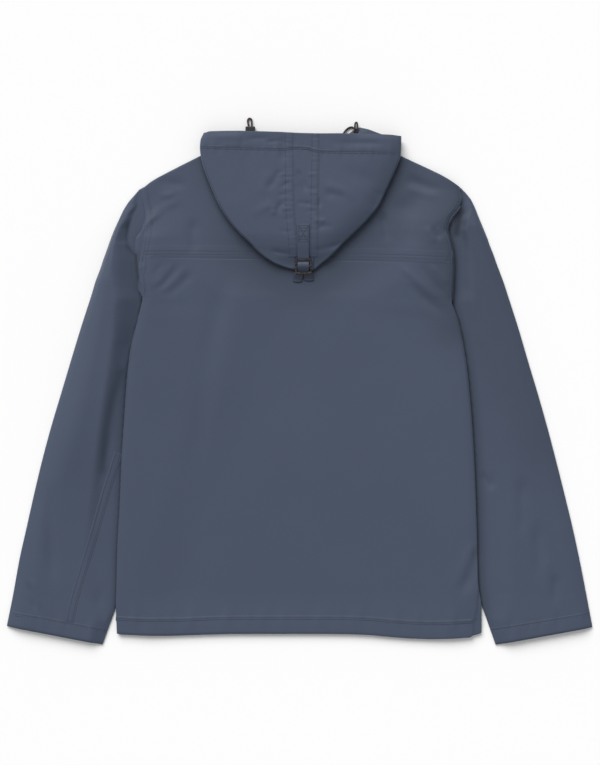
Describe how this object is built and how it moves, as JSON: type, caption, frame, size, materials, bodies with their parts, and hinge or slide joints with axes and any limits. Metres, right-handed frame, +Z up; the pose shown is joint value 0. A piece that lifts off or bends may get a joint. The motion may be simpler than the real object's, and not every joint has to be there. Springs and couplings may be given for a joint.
{
  "type": "anorak pullover",
  "caption": "Hooded cotton anorak pullover laid flat on its front, back up, hood folded down on the yoke, sleeves beside the body, drawcord ends showing",
  "frame": {"origin": "Centre of the garment's outline on the surface that it lies on", "axes": "+X across the back to the wearer's right sleeve, +Y along the back to the neck, +Z up out of the back"},
  "size_m": [0.848, 0.7648, 0.0183],
  "materials": {
    "slate_cloth": "fine plain weave with a soft sheen",
    "dark_bronze": "dark aged bronze",
    "black_plastic": "matt black",
    "brown_cord": "braided cord, brown grey"
  },
  "bodies": {
    "root": {"front_panel": "slate_cloth", "back_panel": "slate_cloth", "back_yoke": "slate_cloth", "sleeve_left": "slate_cloth", "sleeve_right": "slate_cloth", "hood_left": "slate_cloth", "hood_right": "slate_cloth", "hood_gusset": "slate_cloth", "hood_strap": "slate_cloth", "strap_end_left": "slate_cloth", "strap_end_right": "slate_cloth", "hood_slider": "dark_bronze", "cord_stopper": "black_plastic", "drawcord_left": "brown_cord", "drawcord_right": "brown_cord", "drawcord_right_end": "brown_cord"}
  },
  "joints": []
}
